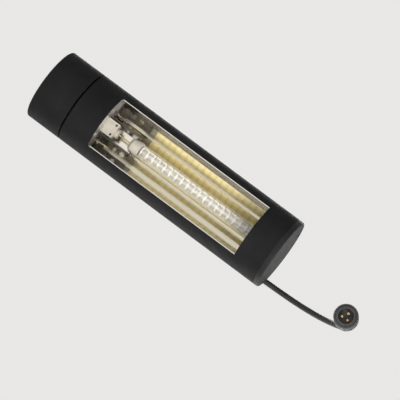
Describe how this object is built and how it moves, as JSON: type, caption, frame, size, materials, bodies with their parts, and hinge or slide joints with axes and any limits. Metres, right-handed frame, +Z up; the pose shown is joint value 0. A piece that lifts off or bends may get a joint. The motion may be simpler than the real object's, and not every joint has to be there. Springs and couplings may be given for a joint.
{
  "type": "umbrella light",
  "caption": "Black cylindrical infrared lamp with an open window, mirrored trough and quartz tube, hung under a parasol strut by a tilting clamp, with a short cable and plug.",
  "frame": {"origin": "middle of the rubber seat that meets the strut's underside", "axes": "+X along the lamp towards its outer end cap, +Z up away from the window"},
  "size_m": [0.446, 0.086, 0.3055],
  "materials": {
    "housing_coat": "fine matt black powder coat on aluminium",
    "cap_coat": "fine matt black powder coat on aluminium",
    "clamp_coat": "matt black powder coat on an aluminium casting",
    "seal_rubber": "moulded black rubber",
    "gasket_silicone": "red-brown silicone sheet",
    "brass": "turned",
    "steel": "zinc-plated",
    "dark_steel": "heat-darkened spring steel sheet",
    "black_screw": "black zinc",
    "knob_plastic": "textured black",
    "gland_plastic": "black polyamide",
    "mirror_sheet": "polished folded aluminium",
    "partition_sheet": "plain sheet",
    "quartz": "clear quartz with a gold half coat on its back",
    "filament_wire": "wound heating wire",
    "ceramic": "unglazed steatite",
    "lead_metal": "gold-coloured nickel lead",
    "wire_pale": "glass-fibre sleeved wire",
    "wire_earth": "green and yellow insulation",
    "dark_bakelite": "moulded phenolic",
    "cable_jacket": "rubber-jacketed flexible cable"
  },
  "bodies": {
    "clamp": {"clamp_base": "clamp_coat", "seat_liner": "seal_rubber", "thread_inserts": "brass", "friction_washers": "steel"},
    "cap": {"clamp_cap": "clamp_coat", "cap_pad": "seal_rubber", "cap_washers": "steel"},
    "knob_plus_y": {"stud_a": "steel", "knob_a": "knob_plastic"},
    "knob_minus_y": {"stud_b": "steel", "knob_b": "knob_plastic"},
    "tilt_lock": {"tilt_nut": "steel"},
    "lamp": {"saddle": "clamp_coat", "saddle_gasket": "gasket_silicone", "saddle_screws": "steel", "saddle_nuts": "steel", "pivot_bolt": "steel", "housing_tube": "housing_coat", "outer_cap": "cap_coat", "cap_gasket": "seal_rubber", "outer_cap_screws": "black_screw", "inner_cap": "cap_coat", "inner_o_ring": "seal_rubber", "inner_cap_screws": "black_screw", "reflector": "mirror_sheet", "bulkhead_outer": "partition_sheet", "bulkhead_inner": "partition_sheet", "quartz_tube": "quartz", "filament": "filament_wire", "tube_ceramics": "ceramic", "lamp_socket": "ceramic", "outer_holder": "dark_steel", "lamp_holder": "steel", "tube_leads": "lead_metal", "wiring_shelf": "partition_sheet", "terminal_block": "ceramic", "terminal_screws": "brass", "thermal_cutout": "dark_bakelite", "live_wire": "wire_pale", "neutral_wire": "wire_pale", "earth_wire": "wire_earth", "earth_screw": "steel", "grommet": "gasket_silicone", "entry_boss": "cap_coat", "boss_gasket": "seal_rubber", "boss_screws": "black_screw", "gland_body": "gland_plastic", "gland_seal": "seal_rubber", "gland_nut": "gland_plastic", "cable_boot": "cable_jacket", "cable": "cable_jacket", "cable_clip": "gland_plastic", "clip_screw": "black_screw", "connector_boot": "cable_jacket", "connector_body": "gland_plastic", "connector_insert": "dark_bakelite", "contact_pins": "brass"},
    "lock_ring": {"coupling_ring": "knob_plastic"}
  },
  "joints": [
    {"name": "lamp_tilt", "type": "hinge", "parent": "clamp", "child": "lamp", "pos_m": [0, 0, -0.015], "axis": [1, 0, 0], "range_deg": [-40, 40]},
    {"name": "cap_travel", "type": "slide", "parent": "clamp", "child": "cap", "axis": [0, 0, 1], "range_m": [-0.002, 0.005]},
    {"name": "knob_a_turn", "type": "hinge", "parent": "cap", "child": "knob_plus_y", "pos_m": [0, 0.017, 0.03], "axis": [0, 0, 1], "range_deg": [-722, 1802]},
    {"name": "knob_b_turn", "type": "hinge", "parent": "cap", "child": "knob_minus_y", "pos_m": [0, -0.017, 0.03], "axis": [0, 0, 1], "range_deg": [-722, 1802]},
    {"name": "tilt_nut_turn", "type": "hinge", "parent": "lamp", "child": "tilt_lock", "pos_m": [-0.028, 0, -0.015], "axis": [-1, 0, 0], "range_deg": [0, 720]},
    {"name": "ring_turn", "type": "hinge", "parent": "lamp", "child": "lock_ring", "pos_m": [-0.273, -0.028, -0.248], "axis": [0, 0, -1], "range_deg": [0, 90]}
  ],
  "couplings": [
    {"joint": "knob_a_turn", "follows": "cap_travel", "rad_per_m": 6283.2},
    {"joint": "knob_b_turn", "follows": "cap_travel", "rad_per_m": 6283.2}
  ]
}
